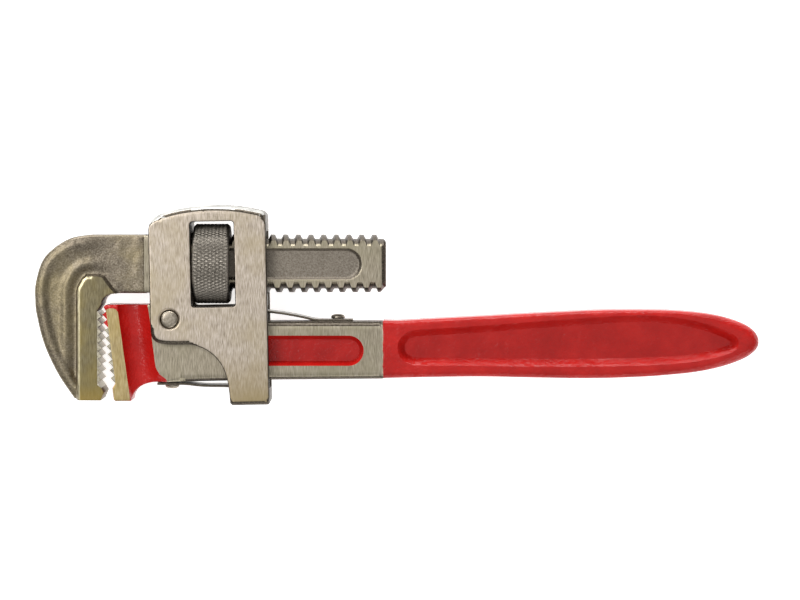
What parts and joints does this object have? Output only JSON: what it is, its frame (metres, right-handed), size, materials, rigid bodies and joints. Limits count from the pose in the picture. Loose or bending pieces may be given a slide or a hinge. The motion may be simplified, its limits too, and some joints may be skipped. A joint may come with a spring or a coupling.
{
  "type": "adjustable pipe wrench",
  "caption": "Adjustable pipe wrench with toothed hook and heel jaws, a knurled adjusting nut in a rocking steel frame, leaf springs and a long painted grip",
  "frame": {"origin": "under the middle of the whole tool's bounding box, at the height of its lowest point, the adjusting nut's rim", "axes": "+X along the tool towards the end of the grip, +Y across it from the handle towards the threaded bar, +Z out of one flat side"},
  "size_m": [0.2898, 0.0796, 0.032],
  "materials": {
    "red_paint": "glossy enamel over a forging, left bare on the ground jaw strip and neck",
    "forged_steel": "blasted forging with ground jaw pads",
    "dark_steel": "darkened steel with a diamond knurl",
    "ground_steel": "belt ground, fine lines across the tool",
    "rivet_steel": "hammered rivet heads",
    "spring_steel": "plain rolled strip"
  },
  "bodies": {
    "handle": {"handle": "red_paint", "upper_leaf_spring": "spring_steel", "upper_spring_rivet": "rivet_steel", "lower_leaf_spring": "spring_steel", "lower_spring_rivet": "rivet_steel"},
    "frame": {"frame": "ground_steel", "frame_pivot_rivet": "rivet_steel"},
    "hook_jaw": {"hook_jaw": "forged_steel"},
    "adjusting_nut": {"adjusting_nut": "dark_steel"}
  },
  "joints": [
    {"name": "frame_rock", "type": "hinge", "parent": "handle", "child": "frame", "pos_m": [-0.09077, -0.00551, 0.016], "axis": [0, 0, 1], "range_deg": [-3, 2.2], "stiffness_Nm_per_rad": 17, "deforming": ["upper_leaf_spring", "lower_leaf_spring"]},
    {"name": "nut_spin", "type": "hinge", "parent": "frame", "child": "adjusting_nut", "pos_m": [-0.0743, 0.01629, 0.016], "axis": [1, 0, 0], "range_deg": [0, 4252]},
    {"name": "jaw_slide", "type": "slide", "parent": "frame", "child": "hook_jaw", "axis": [-1, 0, 0], "range_m": [0, 0.06]}
  ],
  "couplings": [
    {"joint": "nut_spin", "follows": "jaw_slide", "rad_per_m": 1236.8}
  ]
}
